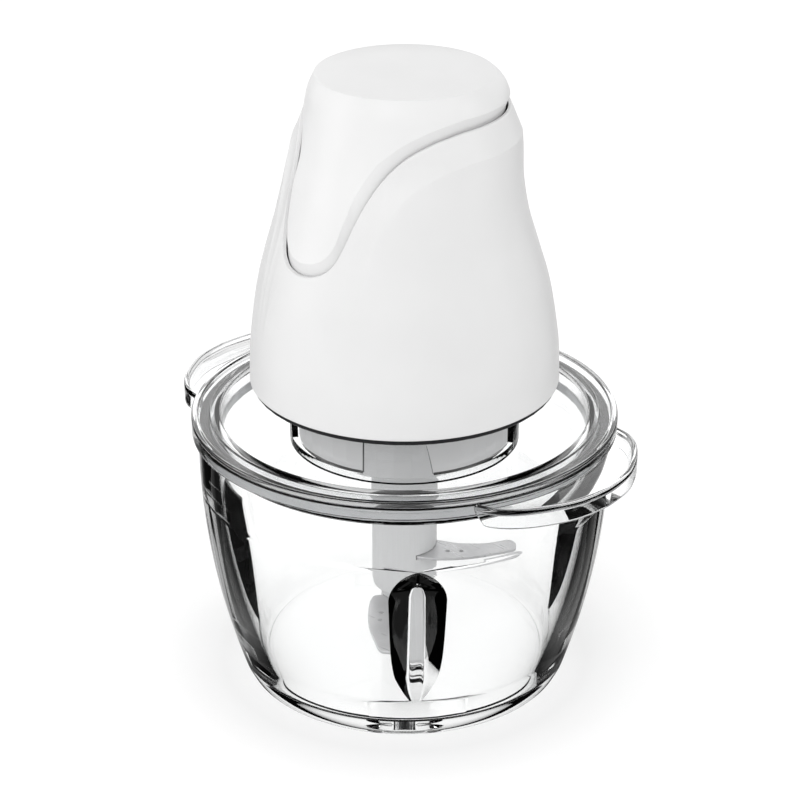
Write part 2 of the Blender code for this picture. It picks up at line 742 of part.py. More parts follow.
def make_rotor():
    low, high = STACK_Z
    shaft = [(0, 115.2), (3.0, 115.2), (3.0, 126.9), (SHAFT_R, 127.2), (SHAFT_R, 213), (0, 213.4)]
    turned("rotor_shaft", shaft, steel(), steps=18, closed=False)
    bore = SHAFT_R + GAP
    slots = 12
    outline = []
    for k in range(slots):
        middle = 2 * math.pi * k / slots
        for offset, radius in ((-11.5, ROTOR_R), (0, ROTOR_R), (11.5, ROTOR_R), (12.2, ROTOR_R - 2.2)):
            angle = middle + math.radians(offset)
            outline.append((radius * math.cos(angle), radius * math.sin(angle)))
        angle = middle + math.radians(17.8)
        outline.append(((ROTOR_R - 2.2) * math.cos(angle), (ROTOR_R - 2.2) * math.sin(angle)))
    prism("armature_core", [outline, circle(bore, 18)], low, high, laminated_steel())
    bundle = [(bore, 7.5), (7, 8.5), (11.5, 8), (13.6, 6), (13.8, 1), (13, 0), (bore, 0)]
    turned("lower_windings", [(r, low - GAP - z) for r, z in bundle], copper(), steps=24)
    turned("upper_windings", [(r, high + GAP + 0.85 * z) for r, z in bundle], copper(), steps=24)
    turned("commutator", [(bore, 192.4), (11.6, 192.4), (11.6, 193.8), (10.0, 194.2), (10.0, 202.5),
                          (bore, 202.5)], copper(), steps=24)


def make_cooling_fan():
    section = [(SHAFT_R + GAP, 135.0), (24.5, 135.0), (24.5, 136.5), (9.0, 137.2), (9.0, 144.5),
               (SHAFT_R + GAP, 144.5)]
    fan = turned("cooling_fan", section, dark_plastic(), steps=36)
    bm = bmesh.new()
    blades = 9
    for k in range(blades):
        vane = []
        for side in (-0.6, 0.6):
            row = [(8.2 + 4 * i, side + 0.16 * i * i) for i in range(5)]
            vane += row if side < 0 else list(reversed(row))
        add_prism(bm, [turned_about(vane, 360 * k / blades)], 136.0, 143.6)
    combine(fan, cutter("fan_vanes", bm), "UNION")
    return fan


def make_motor_cage():
    """A bent strap that stands on the gearbox cover, holds the stator and the top bearing."""
    near, far = CAGE_Y
    section = [(-far - 9, 130.9), (-near, 130.9), (-near, 207.2), (near, 207.2), (near, 130.9),
               (far + 9, 130.9), (far + 9, 133.0), (far, 133.0), (far, 209.4), (-far, 209.4),
               (-far, 133.0), (-far - 9, 133.0)]
    bm = bmesh.new()
    add_prism(bm, [section], -9, 9)
    stand = Matrix(((0, 0, 1, 0), (1, 0, 0, 0), (0, 1, 0, 0), (0, 0, 0, 1)))
    bmesh.ops.transform(bm, matrix=stand, verts=bm.verts)
    cage = finished("motor_cage", bm, steel())
    arms = bmesh.new()
    add_box(arms, (-27, -8, 207.4), (27, 8, 209.2))
    combine(cage, cutter("cage_arms", arms), "UNION")
    hole = bmesh.new()
    add_turned(hole, rod_section(8.3, 205, 212), 20, False)
    combine(cage, cutter("cage_hole", hole), "DIFFERENCE")
    turned("upper_bearing", tube_section(SHAFT_R + GAP, 8.0, 206.0, 211.0), copper(), steps=20)
    return cage


def make_brushes():
    """Two brush holders that hang from the cage, each with a carbon brush inside."""
    for name, side in (("left", -1), ("right", 1)):
        near, far = sorted((12.4 * side, 26.0 * side))
        holder = bmesh.new()
        add_box(holder, (near, -4.6, 193.6), (far, 4.6, 207.1))
        made = finished(f"brush_holder_{name}", holder, nylon())
        channel = bmesh.new()
        add_box(channel, (near - 2, -3.0, 195.2), (far + 2, 3.0, 201.4))
        combine(made, cutter(f"brush_channel_{name}", channel), "DIFFERENCE")
        start, end = sorted((10.4 * side, 22.0 * side))
        brush = bmesh.new()
        add_box(brush, (start, -2.7, 195.5), (end, 2.7, 201.1))
        finished(f"carbon_brush_{name}", brush, carbon())


# --- Press button inside ----------------------------------------------------------------------

def make_button_guide():
    section = [(4.7, GUIDE_Z), (44.6, GUIDE_Z), (44.6, 216.5), (6.8, 216.5), (6.8, 238), (4.7, 238)]
    return turned("button_guide", section, nylon(), steps=36)


def make_plunger():
    section = [(0, 224), (3.2, 224), (4.2, 225.2), (4.2, 257.2), (11, 257.2), (11, 259.3), (0, 259.3)]
    turned("plunger", section, nylon(), steps=20, closed=False)
    bm = bmesh.new()
    add_box(bm, (-2.5, 14.5, 237.2), (2.5, 18.5, 259.3))
    finished("switch_finger", bm, nylon())


def make_return_spring():
    """A helix of round wire, swept ring by ring."""
    per_turn = 10
    sides = 5
    low, high = SPRING_Z
    count = SPRING_TURNS * per_turn
    rings = []
    for i in range(count + 1):
        angle = 2 * math.pi * i / per_turn
        height = low + (high - low) * i / count
        ring = []
        for k in range(sides):
            around = 2 * math.pi * k / sides
            radius = SPRING_R + SPRING_WIRE * math.cos(around)
            ring.append((radius * math.cos(angle), radius * math.sin(angle),
                         height + SPRING_WIRE * math.sin(around)))
        rings.append(ring)
    bm = bmesh.new()
    add_skin(bm, rings, wrap_rows=False)
    return finished("return_spring", bm, steel())


def make_electrics():
    switch = bmesh.new()
    add_box(switch, (-10, 12.5, 216.8), (10, 20.5, 231.5))
    body = finished("microswitch", switch, dark_plastic())
    button = bmesh.new()
    add_box(button, (-1.5, 15.5, 230.5), (1.5, 17.5, 234.3))
    combine(body, cutter("switch_button", button), "UNION")
    board = bmesh.new()
    add_box(board, (-16, -36, 218.4), (16, -14, 220.0))
    made = finished("control_board", board, board_green())
    blocks = bmesh.new()
    add_box(blocks, (-12, -32, 219.5), (-2, -20, 226.5))
    add_box(blocks, (4, -28, 219.5), (13, -22, 224.0))
    combine(made, cutter("board_blocks", blocks), "UNION")


# --- Blade assembly ---------------------------------------------------------------------------

def slot_cutter(name, blade):
    """The pocket that a blade's root sits in."""
    height, turn = blade
    outline = [(4.1, 1.5 + GAP), (4.1, -12.2), (6.4, -14.3 - GAP), (SLOT_REACH, -14.3 - GAP),
               (SLOT_REACH, 1.5 + GAP)]
    bm = bmesh.new()
    add_prism(bm, [turned_about(outline, turn)], height - GAP, height + BLADE_THICK + GAP)
    return cutter(name, bm)


def make_blade(name, blade):
    height, turn = blade
    loops = [BLADE_PLAN] + [circle(BLADE_HOLE_R, 10, centre) for centre in BLADE_HOLES]
    loops = [turned_about(loop, turn) for loop in loops]
    return prism(name, loops, height, height + BLADE_THICK, steel())


def make_hub():
    bore = PIN_R + 0.15
    section = [(bore, HUB_SPLIT_Z), (HUB_R, HUB_SPLIT_Z), (HUB_R, HUB_TOP - 0.5), (HUB_R - 0.5, HUB_TOP),
               (11.2, HUB_TOP), (11.2, SOCKET_Z), (0, SOCKET_Z)]
    closing = [(0, 64.0), (bore, 64.0)]
    hub = turned("blade_hub", section + closing, white_plastic(), steps=36)
    combine(hub, slot_cutter("upper_slot", UPPER_BLADE), "DIFFERENCE")
    foot = turned("hub_foot", [(bore, 10.4), (8.6, 10.4), (HUB_FOOT_R, 12.0), (HUB_FOOT_R, 33.0),
                               (HUB_R - 0.4, 35.4), (HUB_R - 0.4, HUB_SPLIT_Z - GAP),
                               (bore, HUB_SPLIT_Z - GAP)], white_plastic(), steps=36)
    combine(foot, slot_cutter("lower_slot", LOWER_BLADE), "DIFFERENCE")
    prism("hub_socket", [circle(10.9, 30), star_outline(8.9, 7.5)], SOCKET_Z + GAP, HUB_TOP - 0.4, nylon())


def main():
    for leftover in list(bpy.data.objects):
        bpy.data.objects.remove(leftover)
    make_bowl()
    make_pivot_pin()
    make_lid()
    make_lid_seal()
    make_motor_housing()
    make_press_cap()
    make_cable_gland()
    make_housing_screws()
    make_base_cover()
    turned("trim_ring", TRIM_SECTION, dark_plastic(), steps=48)
    make_gears()
    make_planet_carrier()
    make_drive_coupling()
    make_gearbox_case()
    make_stator()
    make_rotor()
    make_cooling_fan()
    make_motor_cage()
    make_brushes()
    make_button_guide()
    make_plunger()
    make_return_spring()
    make_electrics()
    make_hub()
    make_blade("upper_blade", UPPER_BLADE)
    make_blade("lower_blade", LOWER_BLADE)


main()
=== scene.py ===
import bisect
import math

import bmesh
import bpy
import numpy as np
from mathutils import Matrix, Vector


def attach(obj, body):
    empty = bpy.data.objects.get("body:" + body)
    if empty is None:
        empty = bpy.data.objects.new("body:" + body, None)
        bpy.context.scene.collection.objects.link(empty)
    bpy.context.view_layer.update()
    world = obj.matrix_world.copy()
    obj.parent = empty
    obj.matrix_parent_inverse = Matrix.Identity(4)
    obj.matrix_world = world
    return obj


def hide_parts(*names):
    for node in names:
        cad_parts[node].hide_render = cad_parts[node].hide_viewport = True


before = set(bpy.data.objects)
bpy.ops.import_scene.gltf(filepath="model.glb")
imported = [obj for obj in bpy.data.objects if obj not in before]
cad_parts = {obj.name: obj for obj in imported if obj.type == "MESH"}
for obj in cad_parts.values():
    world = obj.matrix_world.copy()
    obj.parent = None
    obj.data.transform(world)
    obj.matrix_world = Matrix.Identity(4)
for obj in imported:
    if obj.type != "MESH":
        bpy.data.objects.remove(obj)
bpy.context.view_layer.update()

MM = 0.001

# Camera: distance from the object's axis, height, downward pitch, azimuth from the front
CAMERA_AWAY = 0.975
CAMERA_HEIGHT = 0.5797
CAMERA_PITCH = 25.22
CAMERA_AZIMUTH = 41.2
CAMERA_LENS = 117.4
CAMERA_SHIFT = -0.0056

# Studio, as (position, grey) stops. DOME, BACKDROP_REFLECTED and ZENITH_REFLECTED go by height, as
# the sine of the elevation. Reflections see light only overhead and in a wedge that opens behind the
# object: DOME_REFLECTED and FLOOR_REFLECTED go by the distance past its edge, on the dome as a part
# of a unit vector and on the floor in metres. The floor's painted contact shadow, which dims its glow
# round the base, goes by the distance from the axis in metres
DOME = [(0.0, 1.12), (0.3, 1.05), (0.7, 0.88), (1.0, 0.76)]
DOME_REFLECTED = [(-0.3, 1.05), (-0.05, 0.9), (0.02, 0.1), (0.1, 0.02)]
BACKDROP_REFLECTED = [(0.0, 1.0), (0.5, 1.0), (0.72, 0.4), (1.0, 0.3)]
ZENITH_REFLECTED = [(0.55, 0.0), (0.8, 0.45), (1.0, 0.4)]
FLOOR_REFLECTED = [(-0.1, 0.85), (-0.02, 0.62), (0.005, 0.12), (0.03, 0.012)]
# Painted contact shadow round the base: a factor on the floor's glow, by distance from the axis
FLOOR_PAINTED_SHADOW = [(0.06, 0.4), (0.078, 0.2), (0.1, 0.54), (0.13, 0.84), (0.2, 0.95), (0.3, 1.0)]
FLOOR_WEDGE = (0.45, 0.085)    # (spread, half width at the axis)
DOME_WEDGE = (1.7, 0.0)
STUDIO_FRONT = 41.2        # azimuth that the wedge opens away from
FLOOR_GLOW = 0.26          # seen directly
FLOOR_GLOW_THROUGH = 0.27  # more, seen through glass
FLOOR_GREY = 0.86
FLOOR_HALF = 8.0
FLOOR_TOP = -0.0002        # just under the bowl's foot
SOFTBOX_AIM = (0, 0, 0.13)
SOFTBOXES = [  # (name, azimuth, elevation, distance, (width, height), watts)
    ("front_left_softbox", 8, 42, 1.6, (0.9, 0.9), 4.5),
    ("left_softbox", -42, 12, 1.2, (0.5, 0.8), 1.5),
    ("right_softbox", 112, 22, 1.4, (0.5, 0.8), 1.2),
]

# Bowl: (radius, height) of the wall's outside and inside; corners also have a rounding
BOWL_OUTSIDE = [(69.2, 5.0), (71.8, 14), (74.7, 24), (77.8, 36), (80.8, 50), (83.1, 65), (84.5, 80),
                (85.0, 98), (85.2, 111.6)]
BOWL_WALL = [(65.0, 17), (68.6, 29), (72.6, 45), (75.1, 57), (77.0, 69), (78.5, 84), (79.6, 97),
             (80.0, 111.6)]
BOWL_BASE = [(40, 0, 0), (66.4, 0, 1.6), (69.2, 5.0, 0)]
BOWL_RIM = [(85.2, 111.6, 0), (85.0, 113.6, 1.8), (80.2, 113.6, 1.8), (80.0, 111.6, 0)]
FLOOR_Z = 6.9
FLOOR_EDGE = [(62.4, 7.9, 0.5), (61.2, 7.1, 0.2), (60.5, 6.5, 0.3), (59.5, 6.5, 0.3), (58.9, FLOOR_Z, 0.2)]
BOSS_R = 9.6
BOSS_TOP = 9.9
PIN_HOLE_R = 3.3
PIN_HOLE_Z = 6.0
RIB_COUNT = 4
RIB_AZIMUTH = 45
RIB_SHOULDER_Z = 70.0      # the sides close in above this height
RIB_TOP_Z = 84.0
RIB_ARCH = 0.64            # 0.5 is a round arch, more is more pointed
RIB_HOOD = 0.65            # share of the arch over which the crest runs back to the wall
# Ribs by height: radius of the crest, half width at the wall, half width of the crest
RIB_CREST = [(17.5, 64.6), (30, 64.8), (45, 65.8), (58, 67.3), (70, 69.2), (84, 71.8)]
RIB_HALF_WIDTHS = [(17.5, 1.5), (19.6, 2.8), (25, 5.6), (33, 8.7), (45, 10.2), (70, 11.3)]
RIB_CREST_HALVES = [(17.5, 0.8), (21, 2.0), (26, 2.8), (33, 3.0), (70, 2.7), (74, 2.0), (76, 1.1),
                    (84, 0.1)]
RIB_SOFTEST = 0.7          # most rounding beside the crest
RIB_SOFTNESS = 0.12        # that rounding as a share of the half width
RIB_SIDE_STEPS = (0, 0.06, 0.2, 0.4, 0.6, 0.8)    # mesh columns up a rib's side, from the wall
WALL_POINTS = 34           # mesh columns from one rib to the next
RING_START = 18            # degrees before the first rib's middle, so that plain rings line up
RECESS_R = 9.3             # hollow under the pin's boss
RECESS_TOP = 4.6

# Lid: its section is (radius, height, rounding); a wing's edge is (degrees from its middle, radius)
LID_SECTION = [(86.2, 110.5, 0.2), (88.0, 110.5, 0.3), (88.0, 117.9, 1.2), (85.4, 117.9, 0.4),
               (85.1, 117.3, 0.2), (80.7, 117.3, 0.2), (80.3, 117.9, 0.3), (76.0, 117.9, 0.8),
               (75.2, 105.4, 1.6), (12.0, 105.4, 0.4), (12.0, 103.2, 0.4), (78.4, 103.2, 3.6),
               (78.4, 115.4, 0.3), (86.2, 115.4, 0.3)]
WING_EDGE = [(0, 106.2), (8, 105.4), (14, 103.2), (20, 100.4), (24, 97.8), (27.5, 94.4), (29.7, 90.8),
             (31, 88.3)]
WING_ROOT_R = 87.1
WING_PLATE_Z = (112.8, 114.2)
WING_BEAD_Z = 115.6
WING_BEAD = (1.9, 2.3)     # width of the raised edge, at its top and on the plate
WING_SKIRT = 1.9
WING_SKIRT_Z = 107.2
WING_END = 0.94            # share of the half span past which the skirt runs out
WING_END_RISE = 5.4
WING_STEPS = 110
COLLAR_R = (45.0, 47.5)
COLLAR_FOOT_Z = 104.4
COLLAR_LOW_Z = 109.0
COLLAR_TOP_Z = 129.6
TAB_COUNT = 4
TAB_AZIMUTH = 34.5
TAB_HALF = 13.5            # degrees, like the two below
TAB_RAMP = 7.5
TAB_RISE = 0.4             # the plain side

# Blades: plan of one blade (x, y) before it is turned, anticlockwise
BLADE_PLAN = [(4.4, 1.2), (4.4, -11.2), (7.7, -13.8), (14.3, -14.3), (23.2, -13.8), (31.0, -12.3),
              (38.8, -9.8), (44.5, -7.9), (47.2, -6.4), (47.9, -4.4), (47.9, -1.8), (46.7, 0.3), (44.4, 0.8),
              (40.8, -0.3), (36, -1.8), (30, -2.4), (22, -1.9), (16, -0.2)]
BLADE_HOLES = [(18.4, -8.6), (24.2, -8.6)]
BLADE_HOLE_R = 1.0
BLADE_HOLE_STEPS = 32
BLADE_THICK = 1.3
BLADE_SOFT = 0.25
UPPER_BLADE = (51.8, 41.2)    # (height of the underside, turn in degrees)
LOWER_BLADE = (28.6, -52.8)

# Motor housing and press cap, as (height, radius). The seam between them is (azimuth, height), and
# both lean with (height, shift along Y)
HOUSING_Z = 132.2
HOUSING_FOOT = [(0, 0.9), (0.12, 0.4), (0.45, 0.08), (1.0, 0)]    # (height, set back) of the lower edge
FLANK = [(132.2, 63.5), (145, 63.2), (160, 61.6), (175, 59.1), (190, 55.1), (205, 50.8), (220, 47.8),
         (238, 45.6)]
CAP_FLANK = [(190, 55.0), (205, 50.3), (220, 47.3), (235, 44.2), (249, 40.9), (254, 40.0), (257.5, 38.7),
             (260, 37.2), (261.6, 36.0)]
CAP_CROWN = [(262.35, 6.0), (262.3, 18.0), (262.1, 35.3), (261.95, 35.75)]
CAP_CROWN_Z = 262.1        # the whole crown leans as the cap does here
CAP_EDGE_ROWS = (261.6, 261.0, 260, 259, 257.5, 256.2)    # mesh rows round the top edge
CAP_CEILING = [(259.8, 31.5), (260.0, 16)]
CAP_CEILING_EDGE = 258.9
LEAN = [(150, 0), (175, -0.5), (190, -1.1), (205, -1.3), (220, -0.5), (235, 1.5), (249, 1.9), (254, 2.1),
        (257.5, 1.9), (260, 1.3), (261.6, 0.6), (262.3, 0.3)]
SEAM = [(-180, 249), (-75, 248.4), (-60, 246.9), (-50, 244.5), (-45, 242.2), (-40, 238.5), (-36, 233.3),
        (-33, 227.6), (-30.5, 221), (-28.5, 213.5), (-26.5, 205.5), (-24, 199.5), (-20, 195), (-14, 192.1),
        (-8, 191.3), (-2, 191.9), (3, 193.4), (7, 195.6), (10.5, 199.0), (14, 205.3), (18, 214.3),
        (21, 220.3), (24, 225.4), (28, 230.9), (32.4, 235.1), (40, 240.1), (48, 243.4), (60, 246.5),
        (76, 248.4), (100, 248.9), (180, 249)]
SHOULDER = 11.0            # height of the band below the seam, where the seam is level
SHOULDER_SPREAD = 2.4      # how much taller it is where the seam is steep
SHOULDER_FOOT = 150.0      # it never reaches below this
CAP_CHAMFER = 4.8
CAP_INSET = 2.3
SEAM_GAP = 0.2
HOUSING_WALL = 2.8
HOUSING_LIP = [(191, 1.75), (236, 1.65), (245, 1.4), (249, 1.3)]    # by the seam's height
LIP_DEPTH = 4.0
CAP_WALL = 1.7
CAP_SKIRT = 1.2            # below the seam, behind the housing's lip
CAP_SKIRT_WALL = 0.5
CAP_ROUND_Z = 255.0
SHELL_COLUMNS = 420
SHELL_SHARP = 16


def smooth_curve(points):
    """Return a function that runs smoothly through (x, y) points without overshoot."""
    xs = [p[0] for p in points]
    ys = [p[1] for p in points]
    rises = [(ys[i + 1] - ys[i]) / (xs[i + 1] - xs[i]) for i in range(len(xs) - 1)]
    slopes = [rises[0]]
    for a, b in zip(rises, rises[1:]):
        slopes.append(0.0 if a * b <= 0 else 2 * a * b / (a + b))
    slopes.append(rises[-1])

    def value(x):
        x = min(max(x, xs[0]), xs[-1])
        i = min(bisect.bisect_right(xs, x), len(xs) - 1) - 1
        width = xs[i + 1] - xs[i]
        t = (x - xs[i]) / width
        start = (1 + 2 * t) * (1 - t) ** 2 * ys[i] + t * (1 - t) ** 2 * width * slopes[i]
        end = t * t * (3 - 2 * t) * ys[i + 1] - t * t * (1 - t) * width * slopes[i + 1]
        return start + end
    return value


def fair_curve(points):
    """Return a cubic of x that runs close to (x, y) points without any waviness."""
    fit = np.polynomial.Polynomial.fit([p[0] for p in points], [p[1] for p in points], 3)
    return lambda x: float(fit(x))


def rounded(corners, closed=True, steps=4):
    """Round each corner (x, y, radius) of an outline with a short curve."""
    points = []
    count = len(corners)
    for i, (x, y, radius) in enumerate(corners):
        here = Vector((x, y))
        if not closed and i in (0, count - 1) or radius == 0:
            points.append((x, y))
            continue
        before = Vector(corners[i - 1][:2]) - here
        after = Vector(corners[(i + 1) % count][:2]) - here
        reach = min(radius, before.length * 0.45, after.length * 0.45)
        start = here + before.normalized() * reach
        end = here + after.normalized() * reach
        for k in range(steps + 1):
            t = k / steps
            p = start * (1 - t) ** 2 + here * 2 * t * (1 - t) + end * t * t
            points.append((p.x, p.y))
    return points


def refined(outline, step):
    """Split the long stretches of a closed outline into pieces of about one step."""
    points = []
    for (x0, y0), (x1, y1) in zip(outline, outline[1:] + outline[:1]):
        parts = max(1, round(math.hypot(x1 - x0, y1 - y0) / step))
        for k in range(parts):
            points.append((x0 + (x1 - x0) * k / parts, y0 + (y1 - y0) * k / parts))
    return points


def spaced(start, end, steps):
    """Evenly spaced values from start to end."""
    return [start + (end - start) * i / steps for i in range(steps + 1)]


def on_azimuth(degrees, radius, height, shift=0.0):
    """A point seen from the axis, measured in degrees from the front (-Y) towards +X."""
    angle = math.radians(degrees)
    return (radius * math.sin(angle), shift - radius * math.cos(angle), height)


def skin(rows, wrap_rows):
    """Vertices and faces that join rings of equal length; open ends get a cap."""
    size = len(rows[0])
    verts = [(x * MM, y * MM, z * MM) for row in rows for x, y, z in row]
    faces = []
    last = len(rows) if wrap_rows else len(rows) - 1
    for r in range(last):
        low = r * size
        high = (r + 1) % len(rows) * size
        faces += [(low + i - 1, low + i, high + i, high + i - 1) for i in range(1, size)]
        faces.append((low + size - 1, low, high, high + size - 1))
    if not wrap_rows:
        faces.append(tuple(range(size)))
        faces.append(tuple(range((len(rows) - 1) * size, len(rows) * size)))
    return verts, faces


def new_object(name, verts, faces, look, sharp=40):
    """A smooth object whose edges above sharp degrees stay crisp."""
    mesh = bpy.data.meshes.new(name)
    mesh.from_pydata(verts, [], faces)
    bm = bmesh.new()
    bm.from_mesh(mesh)
    bmesh.ops.remove_doubles(bm, verts=bm.verts, dist=1e-7)
    bmesh.ops.recalc_face_normals(bm, faces=bm.faces)
    bm.to_mesh(mesh)
    bm.free()
    mesh.shade_smooth()
    mesh.set_sharp_from_angle(angle=math.radians(sharp))
    made = bpy.data.objects.new(name, mesh)
    bpy.context.scene.collection.objects.link(made)
    if look:
        mesh.materials.append(look)
    return made


def turned(name, outline, look, columns):
    """A closed outline of (radius, height) points, turned round the axis."""
    rows = [[on_azimuth(360 * i / columns, r, z) for i in range(columns)] for r, z in outline]
    return new_object(name, *skin(rows, True), look)


def combine(target, tools, operation, sharp=40):
    """Join or cut solids, then drop the tools."""
    for tool in tools:
        change = target.modifiers.new(tool.name, "BOOLEAN")
        change.operation = operation
        change.object = tool
        change.solver = "MANIFOLD"
    deps = bpy.context.evaluated_depsgraph_get()
    mesh = bpy.data.meshes.new_from_object(target.evaluated_get(deps))
    target.modifiers.clear()
    target.data = mesh
    mesh.shade_smooth()
    mesh.set_sharp_from_angle(angle=math.radians(sharp))
    for tool in tools:
        bpy.data.objects.remove(tool)
    return target


def lets_light_through(piece):
    """Clear pieces cast no shadow of their own on what they hold or stand on."""
    piece.visible_shadow = False
    piece.visible_diffuse = False


# --- Materials --------------------------------------------------------------------------------

def shader(name, colour, roughness, **values):
    """A Principled material; values are its other sockets, by name."""
    made = bpy.data.materials.new(name)
    made.use_nodes = True
    node = made.node_tree.nodes["Principled BSDF"]
    node.inputs["Base Color"].default_value = (*colour, 1)
    node.inputs["Roughness"].default_value = roughness
    for socket, value in values.items():
        node.inputs[socket.replace("_", " ")].default_value = value
    return made


def noise(made, scale, detail=3.0, stretch=(1, 1, 1)):
    """A noise texture in object space, in cycles per metre."""
    nodes = made.node_tree.nodes
    links = made.node_tree.links
    place = nodes.new("ShaderNodeTexCoord")
    mapping = nodes.new("ShaderNodeMapping")
    mapping.inputs["Scale"].default_value = stretch
    texture = nodes.new("ShaderNodeTexNoise")
    texture.inputs["Scale"].default_value = scale
    texture.inputs["Detail"].default_value = detail
    links.new(place.outputs["Object"], mapping.inputs["Vector"])
    links.new(mapping.outputs["Vector"], texture.inputs["Vector"])
    return texture.outputs["Fac"]


NOISE_LOW, NOISE_HIGH = 0.3, 0.7    # between these lie most values of a noise texture


def vary_roughness(made, source, low, high):
    spread = made.node_tree.nodes.new("ShaderNodeMapRange")
    spread.inputs["From Min"].default_value = NOISE_LOW
    spread.inputs["From Max"].default_value = NOISE_HIGH
    spread.inputs["To Min"].default_value = low
    spread.inputs["To Max"].default_value = high
    node = made.node_tree.nodes["Principled BSDF"]
    made.node_tree.links.new(source, spread.inputs["Value"])
    made.node_tree.links.new(spread.outputs["Result"], node.inputs["Roughness"])


def vary_colour(made, source, dark, light):
    ramp = made.node_tree.nodes.new("ShaderNodeValToRGB")
    ramp.color_ramp.elements[0].position = NOISE_LOW
    ramp.color_ramp.elements[0].color = (*dark, 1)
    ramp.color_ramp.elements[1].position = NOISE_HIGH
    ramp.color_ramp.elements[1].color = (*light, 1)
    node = made.node_tree.nodes["Principled BSDF"]
    made.node_tree.links.new(source, ramp.inputs["Fac"])
    made.node_tree.links.new(ramp.outputs["Color"], node.inputs["Base Color"])


def add_bump(made, source, strength, distance):
    """A bump of up to distance, in metres."""
    bump = made.node_tree.nodes.new("ShaderNodeBump")
    bump.inputs["Strength"].default_value = strength
    bump.inputs["Distance"].default_value = distance
    node = made.node_tree.nodes["Principled BSDF"]
    made.node_tree.links.new(source, bump.inputs["Height"])
    made.node_tree.links.new(bump.outputs["Normal"], node.inputs["Normal"])


def tinted(colour, factor):
    return tuple(min(c * factor, 1.0) for c in colour)


def moulded(name, colour, roughness, grain=0.08, **values):
    """Moulded plastic: spark-eroded grain, faint flow marks, roughness that drifts a little."""
    made = shader(name, colour, roughness, **values)
    vary_colour(made, noise(made, 22), tinted(colour, 0.975), tinted(colour, 1.02))
    vary_roughness(made, noise(made, 60), roughness - 0.05, roughness + 0.05)
    add_bump(made, noise(made, 2600, 2.0), grain, 0.00006)
    return made


def clear(name, colour, ior, ripple, haze, **values):
    """A clear moulded material with a faint ripple and a little haze."""
    made = shader(name, colour, 0.0, Transmission_Weight=1.0, IOR=ior, **values)
    vary_roughness(made, noise(made, 30), 0.0, haze)
    add_bump(made, noise(made, 45, 1.0), ripple, 0.0005)
    return made


def brushed(name, colour, roughness, stretch, metallic=1.0):
    """Ground or brushed metal with fine lines along the long side of stretch."""
    made = shader(name, colour, roughness, Metallic=metallic)
    lines = noise(made, 900, 3.0, stretch)
    vary_colour(made, noise(made, 60), tinted(colour, 0.9), tinted(colour, 1.06))
    vary_roughness(made, lines, roughness - 0.08, roughness + 0.1)
    add_bump(made, lines, 0.25, 0.00003)
    return made


glass = clear("clear_glass", (0.995, 0.998, 0.997), 1.5, 0.02, 0.004)
clear_plastic = clear("clear_plastic", (0.985, 0.988, 0.99), 1.49, 0.02, 0.006)
white_plastic = moulded("white_plastic", (0.775, 0.775, 0.775), 0.38)
cap_plastic = moulded("cap_plastic", (0.795, 0.795, 0.795), 0.36)
hub_plastic = moulded("hub_plastic", (0.65, 0.655, 0.66), 0.4)
grey_plastic = moulded("grey_plastic", (0.66, 0.665, 0.67), 0.34, Metallic=0.25)
dark_plastic = moulded("dark_plastic", (0.02, 0.02, 0.022), 0.42, 0.15)
nylon = moulded("nylon", (0.70, 0.68, 0.61), 0.46)
silicone = moulded("silicone", (0.68, 0.69, 0.70), 0.5, Transmission_Weight=0.35)
steel = brushed("steel", (0.66, 0.66, 0.67), 0.24, (1, 1, 0.06))
blade_steel = brushed("blade_steel", (0.84, 0.84, 0.85), 0.34, (0.08, 1, 1), 0.45)
laminated = brushed("laminated_steel", (0.28, 0.28, 0.29), 0.45, (0.02, 0.02, 3), 0.9)
copper = brushed("copper", (0.72, 0.33, 0.15), 0.34, (0.1, 0.1, 2.4))
bronze = brushed("bronze", (0.60, 0.42, 0.22), 0.38, (1, 1, 1))
carbon = moulded("carbon", (0.03, 0.03, 0.032), 0.62, 0.3)
board_green = moulded("board_green", (0.02, 0.16, 0.06), 0.35)


# --- Bowl -------------------------------------------------------------------------------------

def rib_shape(height, wall_r):
    """Half width at the wall, half width of the crest and radius of the crest of a rib."""
    crest = smooth_curve(RIB_CREST_HALVES)(height)
    crest_r = smooth_curve(RIB_CREST)(height)
    if height <= RIB_SHOULDER_Z:
        return smooth_curve(RIB_HALF_WIDTHS)(height), crest, min(crest_r, wall_r - 0.02)
    left = (RIB_TOP_Z - height) / (RIB_TOP_Z - RIB_SHOULDER_Z)
    depth = (wall_r - crest_r) * min(left / RIB_HOOD, 1.0)
    return RIB_HALF_WIDTHS[-1][1] * (1 - (1 - left) ** 2) ** RIB_ARCH, crest, wall_r - depth


def ribbed_ring(wall_r, height):
    """The inside of the bowl at one height, with its ribs."""
    half, crest, crest_r = rib_shape(height, wall_r)
    edge = math.asin(half / wall_r)
    foot = wall_r * math.cos(edge)
    soft = min(RIB_SOFTEST, half * RIB_SOFTNESS)
    corners = [(-half, foot, 0), (-crest, crest_r, soft), (crest, crest_r, soft), (half, foot, 0)]
    section = rounded(corners, closed=False)
    left = section[:len(section) // 2]
    (x0, y0), (x1, y1) = left[:2]
    left = [(x0 + (x1 - x0) * t, y0 + (y1 - y0) * t) for t in RIB_SIDE_STEPS] + left[1:]
    right = [(-x, y) for x, y in reversed(left)]
    middle = [(crest * t, crest_r) for t in (-0.5, 0, 0.5)]
    across = left + middle + right
    ring = []
    for k in range(RIB_COUNT):
        centre = RIB_AZIMUTH + 360 / RIB_COUNT * k
        for sideways, outward in across:
            turn = math.degrees(math.atan2(sideways, outward))
            ring.append(on_azimuth(centre + turn, math.hypot(sideways, outward), height))
        span = 360 / RIB_COUNT - 2 * math.degrees(edge)
        for i in range(WALL_POINTS):
            turn = math.degrees(edge) + span * (i + 1) / (WALL_POINTS + 1)
            ring.append(on_azimuth(centre + turn, wall_r, height))
    return ring


